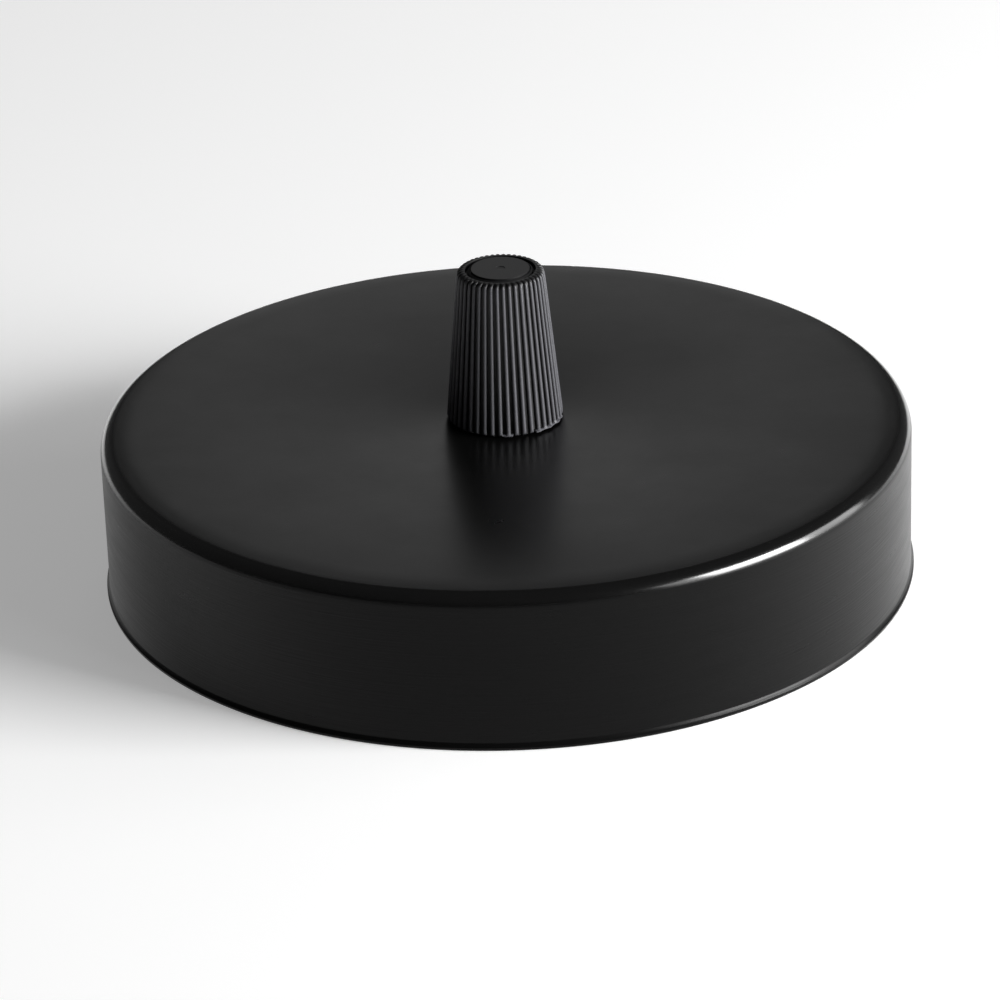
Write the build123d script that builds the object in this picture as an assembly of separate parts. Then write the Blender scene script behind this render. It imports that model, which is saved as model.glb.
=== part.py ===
from build123d import *
import os
from math import atan2, cos, radians, tan

# Ceiling canopy of a pendant light, in millimetres.
# It stands on its open rim as it would on a table: the ceiling side is down, the cord side is up.
# The origin is the centre of the rim, in the plane that meets the ceiling.

# Steel cup
cup_radius = 50.0
cup_height = 20.0
cup_sheet = 0.8
cup_edge_radius = 1.8
lip_height = 1.1
lip_flare = 0.4
lip_land = 0.35
lip_round = 0.2
face_hole_clearance = 0.3

# M10 x 1 tube, nuts and toothed washers
tube_radius = 5.0
tube_wall = 1.0
tube_length = 25.0
tube_above_face = 6.4
tube_chamfer = 0.4
nut_across_flats = 14.0
nut_height = 2.8
nut_chamfer = 0.6
thread_clearance = 0.05
washer_thickness = 0.8
washer_ring_radius = 7.4
washer_tooth_radius = 8.6
washer_tooth_width = 1.5
washer_teeth = 12
washer_clearance = 0.2

# Ribbed cap of the cord grip
grip_height = 19.6
grip_foot_wall = 2.15
grip_top_wall = 1.4
rib_count = 44
rib_phase = 2.7
rib_half_width = 0.33
rib_depth = 0.36
rib_sides = 8
rib_foot_round = 0.9
rib_top_round = 0.3
rib_top_drop = 0.15
rib_margin = 0.1
crown_round = 0.3
crown_slope_drop = 0.12
mouth_disc_inset = 0.55
mouth_groove_width = 0.25
mouth_groove_depth = 0.4
mouth_web = 1.0
shoulder_groove_inset = 0.85
shoulder_groove_width = 0.28
shoulder_groove_depth = 0.35
cap_thread_depth = 8.4
cap_entry_chamfer = 0.4
blank_margin = 1.0
seat_step = 0.55
seat_taper = 0.55

# Split sleeve that closes on the cord
sleeve_tip_wall = 0.5
sleeve_flange_clearance = 0.3
sleeve_flange_height = 1.0
sleeve_seat_clearance = 0.06
sleeve_top_gap = 0.3
sleeve_slot_width = 0.9
sleeve_slot_floor = 3.2
sleeve_fingers = 4

# Ceiling strap
strap_sheet = 1.5
strap_width = 16.0
strap_end_margin = 6.5
strap_rise = 5.2
strap_ramp_foot = 22.0
strap_ramp_top = 18.0
strap_bend_radius = 1.0
strap_corner_radius = 4.0
strap_hole_clearance = 0.2
slot_spacing = 60.0
slot_length = 11.0
slot_width = 4.3
collar_radius = 3.1
collar_height = 1.2

# Earth screw and its clamp washer
earth_gap = 0.8
earth_screw_radius = 2.0
earth_thread_clearance = 0.05
earth_screw_length = 6.0
earth_head_radius = 3.6
earth_head_height = 2.4
earth_head_round = 1.1
earth_recess_width = 0.9
earth_recess_span = 3.8
earth_recess_depth = 1.3
clamp_length = 8.0
clamp_sheet = 0.8
clamp_lug_height = 1.6
clamp_lug_clearance = 0.2
clamp_hole_clearance = 0.25
clamp_corner_round = 0.5

# Levels, from the ceiling side up
face_under = cup_height - cup_sheet
tube_top = cup_height + tube_above_face
tube_foot = tube_top - tube_length
strap_top = strap_rise + strap_sheet
strap_nut_seat = strap_top + washer_thickness
face_nut_seat = face_under - washer_thickness - nut_height
cap_ceiling = cup_height + grip_height - mouth_web
sleeve_top = cap_ceiling - sleeve_top_gap

# Radii that follow the tube: its bore, the cap's thread, seat and outside, and the sleeve between
tube_bore_radius = tube_radius - tube_wall
thread_radius = tube_radius + thread_clearance
seat_base_radius = thread_radius - seat_step
seat_top_radius = seat_base_radius - seat_taper
grip_base_radius = thread_radius + grip_foot_wall
grip_top_radius = seat_top_radius + grip_top_wall
mouth_disc_radius = seat_top_radius - mouth_disc_inset
shoulder_groove_inner = grip_top_radius - shoulder_groove_inset
sleeve_flange_radius = thread_radius - sleeve_flange_clearance
sleeve_bore_radius = seat_top_radius - sleeve_tip_wall

# Strap's reach past its slots
strap_half_length = slot_spacing / 2 + slot_length / 2 + strap_end_margin

# Earth screw's place on the strap, clear of the toothed washer
earth_x = washer_tooth_radius + earth_gap + clamp_length / 2


def turned(profile_lines):
    """Solid turned about Z from closed lines drawn with X as radius and Y as height."""
    return revolve(Plane.XZ * make_face(profile_lines), Axis.Z)


def ring(inner, outer, low, high):
    """Plain ring between two radii and two levels."""
    with BuildPart() as made:
        with BuildSketch(Plane.XY.offset(low)):
            Circle(outer)
            Circle(inner, mode=Mode.SUBTRACT)
        extrude(amount=high - low)
    return made.part


def canopy_cup():
    """Deep-drawn cup: flat face, rounded edge, straight wall, small turned-out lip, pierced hole."""
    hole = tube_radius + face_hole_clearance
    inner_wall = cup_radius - cup_sheet
    inner_round = cup_edge_radius - cup_sheet
    lip_radius = cup_radius + lip_flare
    shoulder = (cup_radius - cup_edge_radius, cup_height)
    wall_top = (cup_radius, cup_height - cup_edge_radius)
    wall_foot = (cup_radius, lip_height)
    lip_edge = (lip_radius, lip_land)
    lip_side = (lip_radius, lip_round)
    lip_foot = (lip_radius - lip_round, 0)
    inner_foot = (inner_wall + lip_flare, 0)
    inner_bend = (inner_wall, lip_height)
    inner_top = (inner_wall, face_under - inner_round)
    ceiling = (inner_wall - inner_round, face_under)
    lines = Curve() + [
        Line((hole, cup_height), shoulder),
        RadiusArc(shoulder, wall_top, cup_edge_radius),
        Line(wall_top, wall_foot),
        TangentArc(wall_foot, lip_edge, tangent=(0, -1)),
        Line(lip_edge, lip_side),
        RadiusArc(lip_side, lip_foot, lip_round),
        Line(lip_foot, inner_foot),
        TangentArc(inner_bend, inner_foot, tangent=(0, -1)),
        Line(inner_bend, inner_top),
        RadiusArc(inner_top, ceiling, -inner_round),
        Line(ceiling, (hole, face_under)),
        Line((hole, face_under), (hole, cup_height)),
    ]
    return turned(lines)


def threaded_tube():
    """Hollow M10 x 1 tube, its thread left at the outer diameter, both ends chamfered."""
    lines = Polyline(
        (tube_bore_radius, tube_foot),
        (tube_radius - tube_chamfer, tube_foot),
        (tube_radius, tube_foot + tube_chamfer),
        (tube_radius, tube_top - tube_chamfer),
        (tube_radius - tube_chamfer, tube_top),
        (tube_bore_radius, tube_top),
        close=True,
    )
    return turned(lines)


def lock_nut(seat):
    """Thin hexagon nut standing on the level given, corners chamfered on both faces."""
    across_corners = nut_across_flats / 2 / cos(radians(30))
    blank = extrude(Plane.XY.offset(seat) * RegularPolygon(across_corners, 6), nut_height)
    rise = nut_chamfer * tan(radians(30))
    flat = across_corners - nut_chamfer
    top = seat + nut_height
    envelope = turned(Polyline(
        (0, seat), (flat, seat), (across_corners, seat + rise),
        (across_corners, top - rise), (flat, top), (0, top), close=True,
    ))
    bore = Cylinder(thread_radius, 2 * nut_height).moved(Pos(0, 0, seat + nut_height / 2))
    return (blank & envelope) - bore


def lock_nuts():
    """Three like nuts: below the strap, above the strap and under the cup's face."""
    seats = [strap_rise - nut_height, strap_nut_seat, face_nut_seat]
    return Compound(children=[Solid(lock_nut(seat).solid().wrapped) for seat in seats])


def tooth_washer(seat):
    """Toothed washer pressed flat, its short teeth around the outside."""
    with BuildPart() as made:
        with BuildSketch(Plane.XY.offset(seat)):
            Circle(washer_ring_radius)
            with PolarLocations(washer_ring_radius, washer_teeth):
                tooth_reach = washer_tooth_radius - washer_ring_radius
                Rectangle(2 * tooth_reach, washer_tooth_width)
            Circle(tube_radius + washer_clearance, mode=Mode.SUBTRACT)
        extrude(amount=washer_thickness)
    return made.part


def tooth_washers():
    """Two like washers: on the strap and under the cup's face."""
    seats = [strap_top, face_under - washer_thickness]
    return Compound(children=[Solid(tooth_washer(seat).solid().wrapped) for seat in seats])


def rib_section(crest_radius):
    """Outline of the ribbed cone at one level: a many-sided core with an eight-sided bead for each rib."""
    scale = crest_radius / grip_base_radius
    core = crest_radius - rib_depth * scale
    bead = rib_half_width * scale
    with BuildSketch() as section:
        RegularPolygon(core, rib_count, major_radius=False, rotation=rib_phase - 90)
        with PolarLocations(crest_radius - bead, rib_count, start_angle=rib_phase - 90):
            RegularPolygon(bead, rib_sides, major_radius=False, rotation=180 / rib_sides)
    return section.sketch.face()


def cone_radius(level):
    """Radius over the rib crests at a height above the cap's foot."""
    return grip_base_radius - (grip_base_radius - grip_top_radius) * level / grip_height


def rib_envelope():
    """Solid that ends the ribs: rounded at foot and top, then a groove, a sloping crown and a flat mouth."""
    rib_top = grip_height - rib_top_drop
    groove_floor = rib_top - shoulder_groove_depth
    groove_outer = shoulder_groove_inner + shoulder_groove_width
    crown_foot = (shoulder_groove_inner, groove_floor)
    mouth_edge = (mouth_disc_radius + mouth_groove_width, grip_height)
    ribs = FilletPolyline(
        (0, 0),
        (cone_radius(0) + rib_margin, 0),
        (cone_radius(rib_top) + rib_margin, rib_top),
        (groove_outer, rib_top),
        radius=[rib_foot_round, rib_top_round],
    )
    groove = Polyline((groove_outer, rib_top), (groove_outer, groove_floor), crown_foot)
    crown = FilletPolyline(
        crown_foot,
        (shoulder_groove_inner, grip_height - crown_slope_drop),
        mouth_edge,
        radius=[crown_round],
    )
    closing = Polyline(mouth_edge, (0, grip_height), (0, 0))
    return turned(Curve() + [ribs, groove, crown, closing])


def cap_cavity():
    """Space inside the cap: entry chamfer, M10 x 1 thread at its outer diameter, tapered seat."""
    return turned(Polyline(
        (0, -rib_margin),
        (thread_radius + cap_entry_chamfer + rib_margin, -rib_margin),
        (thread_radius, cap_entry_chamfer),
        (thread_radius, cap_thread_depth),
        (seat_base_radius, cap_thread_depth),
        (seat_top_radius, grip_height - mouth_web),
        (0, grip_height - mouth_web),
        close=True,
    ))


def grip_cap():
    """Moulded cap: ribbed cone with a closed mouth, threaded foot and tapered seat for the sleeve."""
    low = -blank_margin
    high = grip_height + blank_margin
    base = Plane.XY.offset(low) * rib_section(cone_radius(low))
    top = Plane.XY.offset(high) * rib_section(cone_radius(high))
    body = loft([base, top], ruled=True) & rib_envelope()
    groove_outer = mouth_disc_radius + mouth_groove_width
    body -= ring(mouth_disc_radius, groove_outer, grip_height - mouth_groove_depth, high)
    body -= cap_cavity()
    return body.moved(Pos(0, 0, cup_height))


def seat_radius(level):
    """Radius of the cap's tapered seat at a level of the model."""
    start = cup_height + cap_thread_depth
    share = (level - start) / (cap_ceiling - start)
    return seat_base_radius + share * (seat_top_radius - seat_base_radius)


def clamp_sleeve():
    """Split sleeve: a flange that stands on the tube, and tapered fingers parted by slots."""
    flange_top = tube_top + sleeve_flange_height
    cone_foot = cup_height + cap_thread_depth
    neck = seat_base_radius - sleeve_seat_clearance
    tip = seat_radius(sleeve_top) - sleeve_seat_clearance
    body = turned(Polyline(
        (sleeve_bore_radius, tube_top),
        (sleeve_flange_radius, tube_top),
        (sleeve_flange_radius, flange_top),
        (neck, flange_top),
        (neck, cone_foot),
        (tip, sleeve_top),
        (sleeve_bore_radius, sleeve_top),
        close=True,
    ))
    slot_low = tube_top + sleeve_slot_floor
    slot_height = sleeve_top - slot_low + blank_margin
    outward = (Align.MIN, Align.CENTER, Align.MIN)
    slot = Box(sleeve_flange_radius, sleeve_slot_width, slot_height, align=outward)
    for turn in range(sleeve_fingers):
        body -= Rot(0, 0, turn * 360 / sleeve_fingers) * Pos(0, 0, slot_low) * slot
    return body


def strap_half():
    """Half of the strap's side section: flat foot, ramp and raised middle."""
    slope = atan2(strap_rise, strap_ramp_foot - strap_ramp_top)
    shift = strap_sheet * tan(slope / 2)
    low = [
        (strap_half_length, 0), (strap_ramp_foot, 0),
        (strap_ramp_top, strap_rise), (0, strap_rise),
    ]
    high = [(x + shift, z + strap_sheet) for x, z in low[1:3]]
    high = [(strap_half_length, strap_sheet)] + high + [(0, strap_top)]
    outer_bend = strap_bend_radius + strap_sheet
    under = FilletPolyline(*low, radius=[outer_bend, strap_bend_radius])
    upper = FilletPolyline(*high, radius=[strap_bend_radius, outer_bend])
    ends = [Line(low[0], high[0]), Line(low[-1], high[-1])]
    face = make_face(Curve() + [under, upper] + ends)
    return extrude(Plane.XZ * face, strap_width / 2, both=True)


def ceiling_strap():
    """Bent steel strap: slotted feet on the ceiling, raised middle with the tube's hole and earth collar."""
    half = strap_half()
    body = half + mirror(half, about=Plane.YZ)
    upright = body.edges().filter_by(Axis.Z)
    ends = upright.filter_by(lambda edge: abs(edge.center().X) > strap_half_length - strap_sheet)
    body = fillet(ends, strap_corner_radius)
    collar_top = strap_rise + strap_sheet / 2
    collar = ring(earth_screw_radius, collar_radius, strap_rise - collar_height, collar_top)
    body += collar.moved(Pos(earth_x, 0, 0))
    hole = Cylinder(tube_radius + strap_hole_clearance, 4 * strap_sheet)
    body -= hole.moved(Pos(0, 0, strap_rise))
    tapped = Cylinder(earth_screw_radius + earth_thread_clearance, 8 * strap_sheet)
    body -= tapped.moved(Pos(earth_x, 0, strap_rise))
    slot = extrude(SlotOverall(slot_length, slot_width), 2 * strap_sheet, both=True)
    for side in (-1, 1):
        body -= slot.moved(Pos(side * slot_spacing / 2, 0, 0))
    return body


def earth_washer():
    """Clamp washer with two edges turned up beside the screw's head."""
    half = earth_head_radius + clamp_lug_clearance + clamp_sheet
    plate = Box(clamp_length, 2 * half, clamp_sheet, align=(Align.CENTER, Align.CENTER, Align.MIN))
    lug = Box(clamp_length, clamp_sheet, clamp_lug_height, align=(Align.CENTER, Align.MAX, Align.MIN))
    lug = lug.moved(Pos(0, half, 0))
    body = plate + lug + mirror(lug, about=Plane.XZ)
    bends = body.edges().filter_by(Axis.X).group_by(Axis.Z)[0]
    body = fillet(bends, clamp_corner_round)
    body -= Cylinder(earth_screw_radius + clamp_hole_clearance, 4 * clamp_sheet)
    return body.moved(Pos(earth_x, 0, strap_top))


def earth_screw():
    """Pan head screw with a cross recess."""
    seat = strap_top + clamp_sheet
    top = seat + earth_head_height
    shank = Cylinder(earth_screw_radius, earth_screw_length, align=(Align.CENTER, Align.CENTER, Align.MAX))
    head = turned(Curve() + [
        Line((0, seat), (earth_head_radius, seat)),
        Line((earth_head_radius, seat), (earth_head_radius, top - earth_head_round)),
        RadiusArc(
            (earth_head_radius, top - earth_head_round),
            (earth_head_radius - earth_head_round, top), -earth_head_round,
        ),
        Line((earth_head_radius - earth_head_round, top), (0, top)),
        Line((0, top), (0, seat)),
    ])
    body = head + shank.moved(Pos(0, 0, seat))
    bar = Box(
        earth_recess_span, earth_recess_width, 2 * earth_recess_depth,
    ).moved(Pos(0, 0, top))
    body -= bar
    body -= Rot(0, 0, 90) * bar
    return body.moved(Pos(earth_x, 0, 0))


def main():
    """Write one STEP file for each piece."""
    pieces = {
        "canopy_cup": canopy_cup(),
        "grip_cap": grip_cap(),
        "clamp_sleeve": clamp_sleeve(),
        "threaded_tube": threaded_tube(),
        "lock_nuts": lock_nuts(),
        "tooth_washers": tooth_washers(),
        "ceiling_strap": ceiling_strap(),
        "earth_washer": earth_washer(),
        "earth_screw": earth_screw(),
    }
    os.makedirs("parts", exist_ok=True)
    for name, piece in pieces.items():
        piece.label = name
        export_step(piece, f"parts/{name}.step")


main()
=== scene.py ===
import math

import bmesh
import bpy
from mathutils import Matrix, Vector


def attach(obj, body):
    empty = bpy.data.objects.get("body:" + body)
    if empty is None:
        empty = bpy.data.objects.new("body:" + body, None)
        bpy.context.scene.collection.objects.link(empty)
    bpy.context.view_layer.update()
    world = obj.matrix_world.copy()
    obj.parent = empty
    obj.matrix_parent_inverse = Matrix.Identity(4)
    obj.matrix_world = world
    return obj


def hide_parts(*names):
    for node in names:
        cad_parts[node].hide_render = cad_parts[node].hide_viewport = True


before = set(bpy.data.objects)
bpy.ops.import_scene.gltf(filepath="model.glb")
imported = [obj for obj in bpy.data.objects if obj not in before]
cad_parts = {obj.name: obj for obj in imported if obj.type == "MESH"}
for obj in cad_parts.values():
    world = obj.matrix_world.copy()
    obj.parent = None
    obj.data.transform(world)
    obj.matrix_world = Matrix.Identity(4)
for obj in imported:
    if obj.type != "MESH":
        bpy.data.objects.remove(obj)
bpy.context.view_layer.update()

# Camera
# It looks down on the canopy from 60 cm, at the photograph's angle and with its slight tilt.
scene = bpy.context.scene
eye_distance = 0.600
look_down = math.radians(25.24)
camera_tilt = math.radians(-2.0)
aim_point = Vector((-0.0010, 0.0, 0.0084))
back_to_eye = Vector((0.0, -math.cos(look_down), math.sin(look_down)))
level_right = Vector((1.0, 0.0, 0.0))
level_up = back_to_eye.cross(level_right)
tilted_right = level_right * math.cos(camera_tilt) + level_up * math.sin(camera_tilt)
tilted_up = level_up * math.cos(camera_tilt) - level_right * math.sin(camera_tilt)
camera = bpy.data.objects.new("camera", bpy.data.cameras.new("camera"))
camera.data.sensor_fit = "HORIZONTAL"
camera.data.sensor_width = 36.0
camera.data.lens = 173.6
camera.data.clip_start = 0.01
turn = Matrix((tilted_right, tilted_up, back_to_eye)).transposed().to_4x4()
camera.matrix_world = Matrix.Translation(aim_point + back_to_eye * eye_distance) @ turn
scene.collection.objects.link(camera)
scene.camera = camera
scene.view_settings.view_transform = "Standard"

# Floor and light
# A plain pale floor that runs out of view, and a soft lamp at the right inside a wider, weaker
# panel. A dim panel far behind is what the face mirrors, and the room itself is nearly dark.
MM = 0.001  # the scene is in metres, the sizes of the pieces are in millimetres
floor_half_width = 6.0  # metres
floor_gap = 0.05 * MM
floor_glow = 0.3
room_strength = 0.06
lamp_target = Vector((0.0, 0.0, 0.02))


def linear(code):
    """Linear colour of an sRGB hex code."""
    parts = [int(code[i:i + 2], 16) / 255 for i in (1, 3, 5)]
    return [c / 12.92 if c <= 0.04045 else ((c + 0.055) / 1.055) ** 2.4 for c in parts] + [1.0]


def add(tree, kind, settings=None, links=None):
    """One shader node with its settings and the sockets that feed it."""
    made = tree.nodes.new(kind)
    for name, value in (settings or {}).items():
        if isinstance(name, int) or name in made.inputs:
            made.inputs[name].default_value = value
        else:
            setattr(made, name, value)
    for name, source in (links or {}).items():
        tree.links.new(source, made.inputs[name])
    return made


def empty_material(name):
    """A material without nodes, and its tree."""
    made = bpy.data.materials.new(name)
    made.use_nodes = True
    made.node_tree.nodes.clear()
    return made, made.node_tree


def soft_lamp(name, place, width, height, power):
    """A rectangular soft lamp that faces the canopy."""
    made = bpy.data.objects.new(name, bpy.data.lights.new(name, "AREA"))
    made.data.shape = "RECTANGLE"
    made.data.size = width
    made.data.size_y = height
    made.data.energy = power
    facing = Vector(place) - lamp_target
    turned = facing.to_track_quat("Z", "Y").to_matrix().to_4x4()
    made.matrix_world = Matrix.Translation(place) @ turned
    scene.collection.objects.link(made)


floor_mesh = bmesh.new()
bmesh.ops.create_grid(floor_mesh, x_segments=2, y_segments=2, size=floor_half_width)
floor_data = bpy.data.meshes.new("floor")
floor_mesh.to_mesh(floor_data)
floor_mesh.free()
floor_data.transform(Matrix.Translation((0.0, 0.0, -floor_gap)))
floor = bpy.data.objects.new("floor", floor_data)
scene.collection.objects.link(floor)

# A matt white board. It glows a little, but only for the camera and for mirrored rays, so it
# stays pale without throwing more light on the canopy.
floor_white, tree = empty_material("matt_white_board")
board = add(tree, "ShaderNodeBsdfDiffuse", {"Color": linear("#ededed")})
path = add(tree, "ShaderNodeLightPath")
seen = add(tree, "ShaderNodeMath", {"operation": "ADD", "use_clamp": True},
           {0: path.outputs["Is Camera Ray"], 1: path.outputs["Is Glossy Ray"]})
seen = add(tree, "ShaderNodeMath", {"operation": "ADD", "use_clamp": True},
           {0: seen.outputs[0], 1: path.outputs["Is Transmission Ray"]})
lift = add(tree, "ShaderNodeMath", {"operation": "MULTIPLY", 1: floor_glow}, {0: seen.outputs[0]})
glow = add(tree, "ShaderNodeEmission", {"Color": linear("#ffffff")}, {"Strength": lift.outputs[0]})
both = add(tree, "ShaderNodeAddShader", None, {0: board.outputs[0], 1: glow.outputs[0]})
add(tree, "ShaderNodeOutputMaterial", None, {"Surface": both.outputs[0]})
floor_data.materials.append(floor_white)

world = bpy.data.worlds.new("room")
scene.world = world
world.use_nodes = True
world.node_tree.nodes.clear()
room = add(world.node_tree, "ShaderNodeBackground",
           {"Color": linear("#ffffff"), "Strength": room_strength})
add(world.node_tree, "ShaderNodeOutputWorld", None, {"Surface": room.outputs[0]})

soft_lamp("lamp_right", (0.82, -0.31, 0.31), 0.50, 0.42, 16.0)
soft_lamp("panel_right", (0.92, -0.24, 0.29), 1.30, 0.50, 8.0)
soft_lamp("panel_behind", (0.0, 0.60, 0.32), 0.26, 0.50, 0.165)

# Canopy cup
# A shallow cup deep-drawn from 0.8 mm steel sheet, its open rim turned out a little, with one
# hole pierced in the face. It is baked with satin black paint inside and out.
cup_radius = 50.0
cup_height = 20.0
cup_sheet = 0.8
cup_hole_radius = 5.3
cup_steps = 256
inner_radius = cup_radius - cup_sheet
inner_height = cup_height - cup_sheet
face_turn = ((45.3, 20.0), (46.3, 19.985), (47.2, 19.94), (48.1, 19.86))
edge_corner_height = 19.66
edge_round = 1.65
inner_round = 1.0
wall_top = 17.7
lip_radius = 50.35
lip_start = 0.85
lip_profile = ((50.26, 0.42), (lip_radius, 0.34), (lip_radius, 0.0), (49.6, 0.0))


def noise_scale(size):
    """Scale of a noise texture whose features are about this many millimetres wide."""
    return 1 / (size * MM)


def turned_outline(outline, steps):
    """A bmesh turned about Z from a closed outline of (radius, height) points in millimetres."""
    made = bmesh.new()
    corners = [made.verts.new((r * MM, 0.0, z * MM)) for r, z in outline]
    sides = [made.edges.new((a, b)) for a, b in zip(corners, corners[1:] + corners[:1])]
    bmesh.ops.spin(made, geom=corners + sides, cent=(0, 0, 0), axis=(0, 0, 1), dvec=(0, 0, 0),
                   angle=2 * math.pi, steps=steps, use_merge=True)
    bmesh.ops.remove_doubles(made, verts=made.verts, dist=1e-7)
    bmesh.ops.recalc_face_normals(made, faces=made.faces)
    return made


def round_ring(made, radius, height, amount, segments):
    """Bevels the ring edge at one radius and height of a turned bmesh."""
    def on_ring(vert):
        return (abs(vert.co.xy.length - radius * MM) < 1e-6
                and abs(vert.co.z - height * MM) < 1e-6)
    ring = [e for e in made.edges if on_ring(e.verts[0]) and on_ring(e.verts[1])]
    bmesh.ops.bevel(made, geom=ring, offset=amount * MM, offset_type="OFFSET",
                    segments=segments, profile=0.5, affect="EDGES", material=-1)


def piece_from(made, name, material, smooth_angle):
    """An object made from a bmesh, smooth except across edges sharper than the angle."""
    data = bpy.data.meshes.new(name)
    made.to_mesh(data)
    made.free()
    data.materials.append(material)
    data.shade_smooth()
    data.set_sharp_from_angle(angle=math.radians(smooth_angle))
    piece = bpy.data.objects.new(name, data)
    scene.collection.objects.link(piece)
    return piece


# Satin black paint baked on steel that was polished on a lathe before it was painted: a deep
# black, dim where it is seen straight on and with a soft sheen where it turns away, which the
# grey specular tint gives it. Handling has burnished the rounded edge, where a glossy coat
# catches the lamp in a bright line.
black_paint, tree = empty_material("satin_black_baked_paint")
coords = add(tree, "ShaderNodeTexCoord")
# The polishing lines, really about 0.03 mm apart, are too fine to show. They are drawn 0.2 mm
# apart and 10 mm long around the wall. The paint's orange peel has its real 0.9 mm.
around = add(tree, "ShaderNodeMapping", {"Scale": (0.02, 0.02, 1.0)},
             {"Vector": coords.outputs["Object"]})
lines = add(tree, "ShaderNodeTexNoise",
            {"Scale": noise_scale(0.2), "Detail": 2.0, "Roughness": 0.5},
            {"Vector": around.outputs["Vector"]})
line_bump = add(tree, "ShaderNodeBump", {"Strength": 0.4, "Distance": 0.06 * MM},
                {"Height": lines.outputs["Fac"]})
peel = add(tree, "ShaderNodeTexNoise", {"Scale": noise_scale(0.909), "Detail": 2.0},
           {"Vector": coords.outputs["Object"]})
peel_bump = add(tree, "ShaderNodeBump", {"Strength": 0.12, "Distance": 0.02 * MM},
                {"Height": peel.outputs["Fac"], "Normal": line_bump.outputs["Normal"]})
# The rounded edge is where the paint is both far from the axis and high on the wall.
flat_place = add(tree, "ShaderNodeVectorMath", {"operation": "MULTIPLY", 1: (1.0, 1.0, 0.0)},
                 {0: coords.outputs["Object"]})
from_axis = add(tree, "ShaderNodeVectorMath", {"operation": "LENGTH"},
                {0: flat_place.outputs["Vector"]})
split = add(tree, "ShaderNodeSeparateXYZ", None, {"Vector": coords.outputs["Object"]})
outer = add(tree, "ShaderNodeMapRange",
            {1: (cup_radius - 1.7) * MM, 2: (cup_radius - 1.0) * MM, 3: 0.0, 4: 1.0},
            {0: from_axis.outputs["Value"]})
upper = add(tree, "ShaderNodeMapRange",
            {1: (cup_height - 1.6) * MM, 2: (cup_height - 1.0) * MM, 3: 0.0, 4: 1.0},
            {0: split.outputs["Z"]})
edge = add(tree, "ShaderNodeMath", {"operation": "MULTIPLY"},
           {0: outer.outputs[0], 1: upper.outputs[0]})
# Wiping leaves patches of slightly changing sheen, 1.4 mm high and 12 mm long around the wall.
along = add(tree, "ShaderNodeMapping", {"Scale": (0.12, 0.12, 1.0)},
            {"Vector": coords.outputs["Object"]})
rubs = add(tree, "ShaderNodeTexNoise",
           {"Scale": noise_scale(1.429), "Detail": 4.0, "Roughness": 0.65},
           {"Vector": along.outputs["Vector"]})
dull = add(tree, "ShaderNodeMapRange", {1: 0.3, 2: 0.7, 3: 0.27, 4: 0.33},
           {0: rubs.outputs["Fac"]})
burnish = add(tree, "ShaderNodeMath", {"operation": "MULTIPLY", 1: 0.12}, {0: edge.outputs[0]})
rough = add(tree, "ShaderNodeMath", {"operation": "SUBTRACT"},
            {0: dull.outputs[0], 1: burnish.outputs[0]})
skin = add(tree, "ShaderNodeBsdfPrincipled",
           {"Base Color": linear("#080808"), "IOR": 1.5, "Specular Tint": linear("#787878"),
            "Coat Roughness": 0.15, "Coat IOR": 1.6},
           {"Roughness": rough.outputs[0], "Normal": peel_bump.outputs["Normal"],
            "Coat Weight": edge.outputs[0]})
add(tree, "ShaderNodeOutputMaterial", None, {"Surface": skin.outputs[0]})

cup_mesh = turned_outline([
    (cup_hole_radius, cup_height), *face_turn, (cup_radius, edge_corner_height),
    (cup_radius, wall_top), (cup_radius, lip_start), *lip_profile, (inner_radius, lip_start),
    (inner_radius, inner_height), (cup_hole_radius, inner_height)], cup_steps)
for radius, height, amount, segments in (
        (cup_radius, edge_corner_height, edge_round, 14),
        (inner_radius, inner_height, inner_round, 8),
        (cup_radius, lip_start, 0.08, 2),
        (lip_radius, 0.0, 0.12, 3),
        (cup_hole_radius, cup_height, 0.15, 3)):
    round_ring(cup_mesh, radius, height, amount, segments)
cup = piece_from(cup_mesh, "drawn_cup", black_paint, 40)
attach(cup, "canopy")
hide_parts("canopy_cup")

# Grip cap
# A cap injection moulded in black nylon, screwed on the threaded tube. Fine ribs run up its taper
# for the fingers, and its mouth is still closed by a thin disc with a score line around it.
cap_base_radius = 7.2
cap_top_radius = 5.35
cap_height = 19.6
rib_count = 44
rib_start = -87.3  # degrees from +X to the middle of the first rib
rib_half_width = 0.31
rib_depth = 0.42
rib_samples = (-78, -56, -36, -18, 0, 18, 36, 56, 78)  # degrees around a rib's bead
groove_start = 0.35  # degrees from a rib's bead to the floor of the groove
rib_foot_round = 0.9
rib_foot_steps = 8
rib_foot_slack = 0.05
rib_top_round = 0.7
rib_top_steps = 5
rib_top_slack = 0.03
rib_top = cap_height - 0.14
rib_levels = (2.0, 4.0, 7.0, 10.0, 13.0, 16.0, 18.2)
no_limit = 99.0
# Radius and level of each ring: over the crown, down the recess, around the score line's rim and
# its groove, and across the disc to the gate mark in its middle.
mouth_profile = (
    (4.36, rib_top), (4.32, rib_top - 0.05), (4.32, 18.95), (4.05, 18.95), (4.02, 19.25),
    (3.98, 19.3), (3.76, 19.44), (3.72, 19.4), (3.72, 19.15), (3.6, 19.15), (3.6, 19.55),
    (3.55, 19.6), (0.62, 19.6), (0.56, 19.54), (0.3, 19.52))
# The same for the inside: the thread's bore, its shoulder and the cone that closes the sleeve.
bore_profile = ((5.45, 0.0), (5.05, 0.4), (5.05, 8.4), (4.5, 8.4), (3.95, 18.6), (0.3, 18.6))
burr_spans = ((-4.0, 7.0, 0.1), (31.0, 76.0, 0.2))  # first and last degree from the front, size
burr_low = 0.2
burr_high = 0.45
burr_inside = 6.5
burr_sink = 0.06
burr_waves = 24
burr_ripple = 0.4

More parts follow.
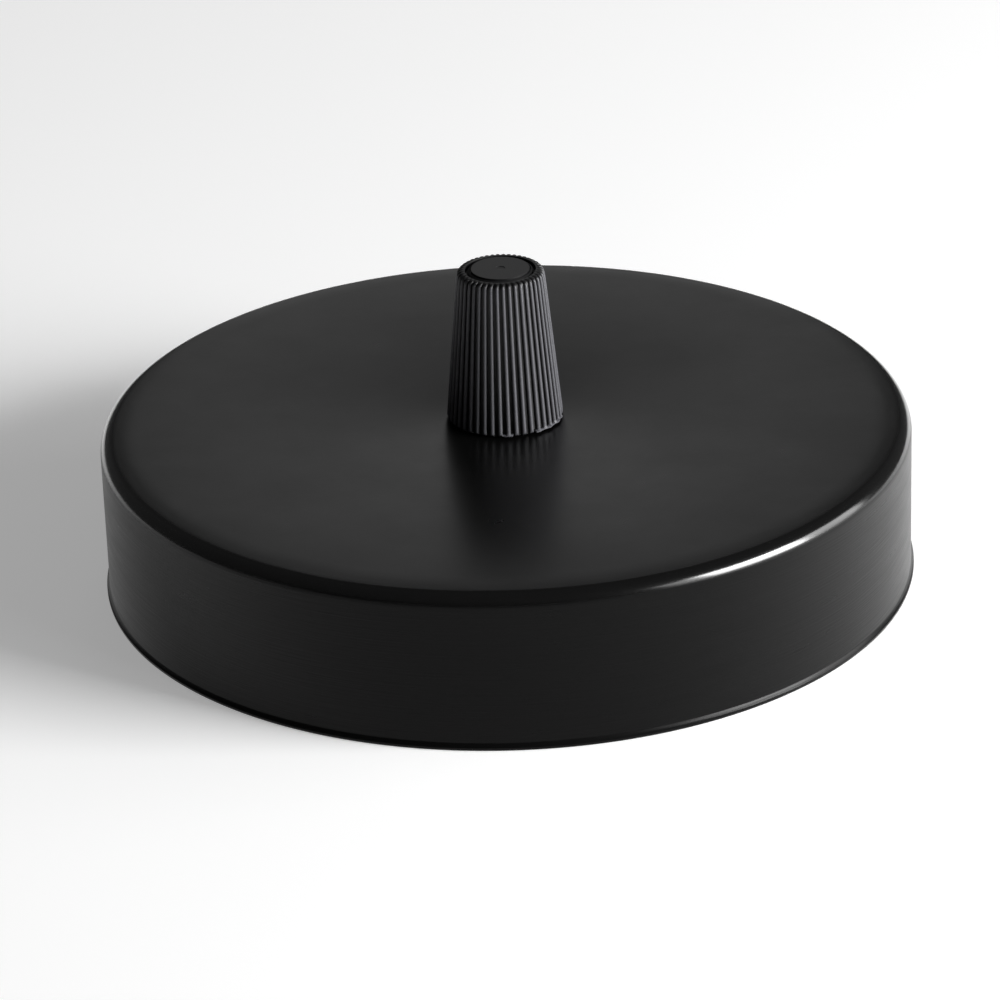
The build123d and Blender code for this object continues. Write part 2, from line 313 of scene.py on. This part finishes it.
# Black nylon from a fine-grained mould with a soft gloss. Each rib's crest is painted lighter,
# a painted highlight of the lamp along the rib, and the grooves between the ribs are painted
# black as painted shade. The mould's grain, really about 0.02 mm, is too fine to show and is
# drawn 0.25 mm wide.
black_nylon, tree = empty_material("moulded_black_nylon")
coords = add(tree, "ShaderNodeTexCoord")
grain = add(tree, "ShaderNodeTexNoise", {"Scale": noise_scale(0.25), "Detail": 3.0},
            {"Vector": coords.outputs["Object"]})
grain_bump = add(tree, "ShaderNodeBump", {"Strength": 0.1, "Distance": 0.02 * MM},
                 {"Height": grain.outputs["Fac"]})
# The crests, painted lighter as a painted highlight, are where the radius comes within 0.25 mm
# of the taper's.
flat_place = add(tree, "ShaderNodeVectorMath", {"operation": "MULTIPLY", 1: (1.0, 1.0, 0.0)},
                 {0: coords.outputs["Object"]})
from_axis = add(tree, "ShaderNodeVectorMath", {"operation": "LENGTH"},
                {0: flat_place.outputs["Vector"]})
split = add(tree, "ShaderNodeSeparateXYZ", None, {"Vector": coords.outputs["Object"]})
taper = add(tree, "ShaderNodeMapRange",
            {1: cup_height * MM, 2: (cup_height + cap_height) * MM,
             3: cap_base_radius * MM, 4: cap_top_radius * MM}, {0: split.outputs["Z"]})
proud = add(tree, "ShaderNodeMath", {"operation": "SUBTRACT"},
            {0: from_axis.outputs["Value"], 1: taper.outputs[0]})
painted_rib_light_mask = add(tree, "ShaderNodeMapRange", {1: -0.25 * MM, 2: -0.02 * MM, 3: 0.0, 4: 1.0},
            {0: proud.outputs[0]})
# Painted shade in the grooves (near black), and a painted highlight on the crests (light grey).
tone = add(tree, "ShaderNodeMix",
           {"data_type": "RGBA", 6: linear("#0e0e0f"), 7: linear("#4c4c50")},
           {0: painted_rib_light_mask.outputs[0]})
skin = add(tree, "ShaderNodeBsdfPrincipled",
           {"Roughness": 0.45, "IOR": 1.53, "Specular IOR Level": 0.35},
           {"Base Color": tone.outputs[2], "Normal": grain_bump.outputs["Normal"]})
add(tree, "ShaderNodeOutputMaterial", None, {"Surface": skin.outputs[0]})


def rib_share(degrees):
    """Share of the crest radius that the ribbed outline has at an angle from a rib's middle."""
    across = math.radians(degrees) * cap_base_radius
    core = 1 - rib_depth / cap_base_radius
    if abs(across) >= rib_half_width:
        return core
    drop = rib_half_width - math.sqrt(rib_half_width ** 2 - across ** 2)
    return max(core, 1 - drop / cap_base_radius)


def cap_crest(level):
    """Crest radius of the taper at a level."""
    return cap_base_radius - (cap_base_radius - cap_top_radius) * level / cap_height


def set_ring(verts, level, crest_radius, limit):
    """Puts a ring of vertices at a level: ribbed under a crest radius, never past the limit."""
    for vert in verts:
        out = Vector((vert.co.x, vert.co.y, 0.0)).normalized()
        radius = min(crest_radius * vert[share_of], limit) * MM
        vert.co = out * radius + Vector((0.0, 0.0, (cup_height + level) * MM))


def next_ring(edges, level, crest_radius, limit):
    """Extrudes the cap's open ring to a new level and gives its edges back."""
    grown = bmesh.ops.extrude_edge_only(cap_mesh, edges=edges)["geom"]
    verts = [g for g in grown if isinstance(g, bmesh.types.BMVert)]
    set_ring(verts, level, crest_radius, limit)
    return [g for g in grown
            if isinstance(g, bmesh.types.BMEdge) and all(v in grown for v in g.verts)]


pitch = 360 / rib_count
bead_angles = [math.degrees(rib_half_width * math.sin(math.radians(s)) / cap_base_radius)
               for s in rib_samples]
groove_angle = bead_angles[-1] + groove_start
outline_angles = bead_angles + [groove_angle, pitch / 2, pitch - groove_angle]
cap_mesh = bmesh.new()
share_of = cap_mesh.verts.layers.float.new("share")
first_ring = bmesh.ops.create_circle(
    cap_mesh, cap_ends=False, segments=rib_count * len(outline_angles),
    radius=cap_base_radius * MM)["verts"]
for index, vert in enumerate(first_ring):
    rib, sample = divmod(index, len(outline_angles))
    offset = outline_angles[sample]
    angle = math.radians(rib_start + rib * pitch + offset)
    near = offset if offset < pitch / 2 else offset - pitch
    vert.co = Vector((math.cos(angle), math.sin(angle), 0.0)) * cap_base_radius * MM
    vert[share_of] = rib_share(near)
loop = cap_mesh.edges[:]

rings = []
for step in range(rib_foot_steps + 1):
    bend = math.radians(90 * step / rib_foot_steps)
    level = rib_foot_round * (1 - math.cos(bend))
    foot_limit = cap_crest(0) + rib_foot_slack - rib_foot_round * (1 - math.sin(bend))
    rings.append((level, cap_crest(level), foot_limit))
for level in rib_levels:
    rings.append((level, cap_crest(level), no_limit))
for step in range(rib_top_steps + 1):
    bend = math.radians(90 * step / rib_top_steps)
    level = rib_top - rib_top_round * (1 - math.sin(bend))
    shoulder = cap_crest(rib_top) + rib_top_slack - rib_top_round * (1 - math.cos(bend))
    rings.append((level, shoulder, no_limit))
for radius, level in mouth_profile:
    rings.append((level, no_limit, radius))
set_ring(first_ring, *rings[0])
for ring in rings[1:]:
    loop = next_ring(loop, *ring)
bmesh.ops.edgeloop_fill(cap_mesh, edges=loop)
loop = [e for e in cap_mesh.edges if e.is_boundary]
for radius, level in bore_profile:
    loop = next_ring(loop, level, no_limit, radius)
bmesh.ops.edgeloop_fill(cap_mesh, edges=loop)

# Small burrs from the mould's parting line join the feet of some ribs at the front and right.
for vert in cap_mesh.verts:
    bearing = math.degrees(math.atan2(vert.co.x, -vert.co.y))
    radius = vert.co.xy.length / MM
    level = vert.co.z / MM - cup_height
    if burr_low < level < burr_high and radius > burr_inside:
        for start, end, size in burr_spans:
            if start < bearing < end:
                wave = math.sin(math.radians(bearing * burr_waves))
                swell = size * (1 - burr_ripple + burr_ripple * wave)
                vert.co.xy *= max(radius, cap_base_radius - burr_sink + swell) / radius
bmesh.ops.recalc_face_normals(cap_mesh, faces=cap_mesh.faces)
cap = piece_from(cap_mesh, "ribbed_cap", black_nylon, 35)
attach(cap, "cap")
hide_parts("grip_cap")

# Clamp sleeve
# A split sleeve moulded in the same nylon. It stands on the tube inside the cap, and its four
# fingers close on the cord as the cap is screwed down.


def dress(node, material):
    """Puts a material in every slot of a CAD node."""
    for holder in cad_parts[node].material_slots:
        holder.material = material


# Black nylon from a rough mould: an even matt black with a fine speckle and no clear highlight.
# The speckle, really about 0.05 mm, is too fine to show and is drawn 0.33 mm wide.
matt_nylon, tree = empty_material("matt_black_nylon")
coords = add(tree, "ShaderNodeTexCoord")
speckle = add(tree, "ShaderNodeTexNoise", {"Scale": noise_scale(0.333), "Detail": 4.0},
              {"Vector": coords.outputs["Object"]})
speckle_bump = add(tree, "ShaderNodeBump", {"Strength": 0.25, "Distance": 0.03 * MM},
                   {"Height": speckle.outputs["Fac"]})
tone = add(tree, "ShaderNodeMix",
           {"data_type": "RGBA", 6: linear("#1b1b1c"), 7: linear("#2a2a2b")},
           {0: speckle.outputs["Fac"]})
skin = add(tree, "ShaderNodeBsdfPrincipled", {"Roughness": 0.6, "IOR": 1.53},
           {"Base Color": tone.outputs[2], "Normal": speckle_bump.outputs["Normal"]})
add(tree, "ShaderNodeOutputMaterial", None, {"Surface": skin.outputs[0]})
dress("clamp_sleeve", matt_nylon)

# Threaded tube
# A hollow steel tube with a rolled M10 x 1 thread from end to end, zinc plated. It passes
# through the strap and the cup's face, and the nuts and the cap are screwed on it.
tube_radius = 5.0
tube_root_radius = 4.42
tube_bore = 4.0
tube_foot = 1.4
tube_top = 26.4
tube_chamfer = 0.4
thread_pitch = 1.0
thread_crest = (0.42, 0.58)  # where the crest's flat starts and ends in a pitch
thread_steps = 48
spare_turns = 4  # cut off at the two ends

# Zinc plating over rolled steel: a cool bright metal, in clouds of about 4 mm where the bath left
# it thinner, with a grain that softens what it mirrors. The grain, really about 0.02 mm, is too
# fine to show and is drawn 0.2 mm wide.
zinc, tree = empty_material("zinc_plated_steel")
coords = add(tree, "ShaderNodeTexCoord")
cloud = add(tree, "ShaderNodeTexNoise",
            {"Scale": noise_scale(3.85), "Detail": 5.0, "Roughness": 0.6},
            {"Vector": coords.outputs["Object"]})
tone = add(tree, "ShaderNodeMix",
           {"data_type": "RGBA", 6: linear("#b9bcc2"), 7: linear("#dadbda")},
           {0: cloud.outputs["Fac"]})
worn = add(tree, "ShaderNodeMapRange", {1: 0.3, 2: 0.7, 3: 0.26, 4: 0.42},
           {0: cloud.outputs["Fac"]})
grit = add(tree, "ShaderNodeTexNoise", {"Scale": noise_scale(0.2), "Detail": 2.0},
           {"Vector": coords.outputs["Object"]})
grit_bump = add(tree, "ShaderNodeBump", {"Strength": 0.15, "Distance": 0.02 * MM},
                {"Height": grit.outputs["Fac"]})
skin = add(tree, "ShaderNodeBsdfPrincipled", {"Metallic": 1.0},
           {"Base Color": tone.outputs[2], "Roughness": worn.outputs[0],
            "Normal": grit_bump.outputs["Normal"]})
add(tree, "ShaderNodeOutputMaterial", None, {"Surface": skin.outputs[0]})

tube_mesh = bmesh.new()
thread_start = tube_foot - spare_turns / 2 * thread_pitch
thread_turns = int((tube_top - tube_foot) / thread_pitch) + spare_turns
thread_profile = ((tube_root_radius, 0.0), (tube_radius, thread_crest[0]),
                  (tube_radius, thread_crest[1]), (tube_root_radius, thread_pitch))
flank = [tube_mesh.verts.new((r * MM, 0.0, (thread_start + z) * MM)) for r, z in thread_profile]
sides = [tube_mesh.edges.new(pair) for pair in zip(flank, flank[1:])]
bmesh.ops.spin(tube_mesh, geom=flank + sides, cent=(0, 0, 0), axis=(0, 0, 1),
               dvec=(0, 0, thread_pitch * MM / thread_steps), angle=2 * math.pi * thread_turns,
               steps=thread_steps * thread_turns, use_merge=False)
bmesh.ops.remove_doubles(tube_mesh, verts=tube_mesh.verts, dist=1e-6)
for level, side in ((tube_foot, -1.0), (tube_top, 1.0)):
    everything = tube_mesh.verts[:] + tube_mesh.edges[:] + tube_mesh.faces[:]
    bmesh.ops.bisect_plane(tube_mesh, geom=everything, dist=1e-8, plane_co=(0, 0, level * MM),
                           plane_no=(0, 0, side), clear_outer=True)
for vert in tube_mesh.verts:
    depth = min(vert.co.z / MM - tube_foot, tube_top - vert.co.z / MM)
    reach = min(vert.co.xy.length / MM, tube_radius - tube_chamfer + max(depth, 0.0))
    vert.co.xy = vert.co.xy.normalized() * reach * MM
bore_edges = []
for level in (tube_foot, tube_top):
    cut = [e for e in tube_mesh.edges
           if e.is_boundary and abs(e.verts[0].co.z / MM - level) < 1e-4]
    grown = bmesh.ops.extrude_edge_only(tube_mesh, edges=cut)["geom"]
    for vert in (g for g in grown if isinstance(g, bmesh.types.BMVert)):
        vert.co.xy = vert.co.xy.normalized() * tube_bore * MM
    bore_edges += [g for g in grown
                   if isinstance(g, bmesh.types.BMEdge) and all(v in grown for v in g.verts)]
bmesh.ops.bridge_loops(tube_mesh, edges=bore_edges)
bmesh.ops.recalc_face_normals(tube_mesh, faces=tube_mesh.faces)
tube = piece_from(tube_mesh, "rolled_thread_tube", zinc, 32)
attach(tube, "canopy")
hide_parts("threaded_tube")

# Lock nuts
# Three thin hexagon nuts cut from drawn steel bar and zinc plated like the tube: one each side
# of the strap, and one that pulls the cup's face against the cap.
dress("lock_nuts", zinc)

# Toothed washers
# Two washers stamped from spring steel, whose teeth bite so that nothing turns loose: one on the
# strap and one under the cup's face.

# Zinc on hardened spring steel: a darker metal with a slight yellow cast, mottled in spots of
# about 2 mm.
spring, tree = empty_material("plated_spring_steel")
coords = add(tree, "ShaderNodeTexCoord")
cast = add(tree, "ShaderNodeTexNoise", {"Scale": noise_scale(2.0), "Detail": 4.0},
           {"Vector": coords.outputs["Object"]})
tone = add(tree, "ShaderNodeMix",
           {"data_type": "RGBA", 6: linear("#8f8a7c"), 7: linear("#b8b4a6")},
           {0: cast.outputs["Fac"]})
cast_bump = add(tree, "ShaderNodeBump", {"Strength": 0.1, "Distance": 0.02 * MM},
                {"Height": cast.outputs["Fac"]})
skin = add(tree, "ShaderNodeBsdfPrincipled", {"Metallic": 1.0, "Roughness": 0.38},
           {"Base Color": tone.outputs[2], "Normal": cast_bump.outputs["Normal"]})
add(tree, "ShaderNodeOutputMaterial", None, {"Surface": skin.outputs[0]})
dress("tooth_washers", spring)

# Ceiling strap
# A strap stamped and bent from 1.5 mm steel strip, slotted at both ends for the ceiling screws,
# with a drawn and tapped collar for the earth screw.

# Zinc plated strip: a cool grey metal in clouds of about 8 mm, whose sheen runs in the strip's
# rolling lines. The lines, really about 0.05 mm apart, are too fine to show and are drawn
# 0.29 mm apart and 10 mm long.
strip, tree = empty_material("zinc_plated_strip")
coords = add(tree, "ShaderNodeTexCoord")
rolled = add(tree, "ShaderNodeMapping", {"Scale": (0.03, 1.0, 0.3)},
             {"Vector": coords.outputs["Object"]})
streak = add(tree, "ShaderNodeTexNoise",
             {"Scale": noise_scale(0.286), "Detail": 4.0, "Roughness": 0.6},
             {"Vector": rolled.outputs["Vector"]})
cloud = add(tree, "ShaderNodeTexNoise",
            {"Scale": noise_scale(8.33), "Detail": 5.0, "Roughness": 0.6},
            {"Vector": coords.outputs["Object"]})
tone = add(tree, "ShaderNodeMix",
           {"data_type": "RGBA", 6: linear("#b4b8be"), 7: linear("#d8d9d8")},
           {0: cloud.outputs["Fac"]})
worn = add(tree, "ShaderNodeMapRange", {1: 0.3, 2: 0.7, 3: 0.28, 4: 0.44},
           {0: streak.outputs["Fac"]})
streak_bump = add(tree, "ShaderNodeBump", {"Strength": 0.2, "Distance": 0.02 * MM},
                  {"Height": streak.outputs["Fac"]})
skin = add(tree, "ShaderNodeBsdfPrincipled", {"Metallic": 1.0},
           {"Base Color": tone.outputs[2], "Roughness": worn.outputs[0],
            "Normal": streak_bump.outputs["Normal"]})
add(tree, "ShaderNodeOutputMaterial", None, {"Surface": skin.outputs[0]})
dress("ceiling_strap", strip)

# Earth screw and its clamp washer
# An M4 pan head screw and a stamped washer with two raised edges that keep the earth wire under
# the head.

# Plain brass, turned and stamped: a warm yellow metal, dulled in stains of about 1.7 mm. Its
# grain, really about 0.02 mm, is too fine to show and is drawn 0.22 mm wide.
brass, tree = empty_material("plain_brass")
coords = add(tree, "ShaderNodeTexCoord")
stain = add(tree, "ShaderNodeTexNoise",
            {"Scale": noise_scale(1.667), "Detail": 5.0, "Roughness": 0.6},
            {"Vector": coords.outputs["Object"]})
tone = add(tree, "ShaderNodeMix",
           {"data_type": "RGBA", 6: linear("#c9a565"), 7: linear("#e2c88f")},
           {0: stain.outputs["Fac"]})
worn = add(tree, "ShaderNodeMapRange", {1: 0.3, 2: 0.7, 3: 0.22, 4: 0.4},
           {0: stain.outputs["Fac"]})
fine_grain = add(tree, "ShaderNodeTexNoise", {"Scale": noise_scale(0.222), "Detail": 2.0},
                 {"Vector": coords.outputs["Object"]})
fine_bump = add(tree, "ShaderNodeBump", {"Strength": 0.1, "Distance": 0.02 * MM},
                {"Height": fine_grain.outputs["Fac"]})
skin = add(tree, "ShaderNodeBsdfPrincipled", {"Metallic": 1.0},
           {"Base Color": tone.outputs[2], "Roughness": worn.outputs[0],
            "Normal": fine_bump.outputs["Normal"]})
add(tree, "ShaderNodeOutputMaterial", None, {"Surface": skin.outputs[0]})
dress("earth_washer", brass)
dress("earth_screw", brass)
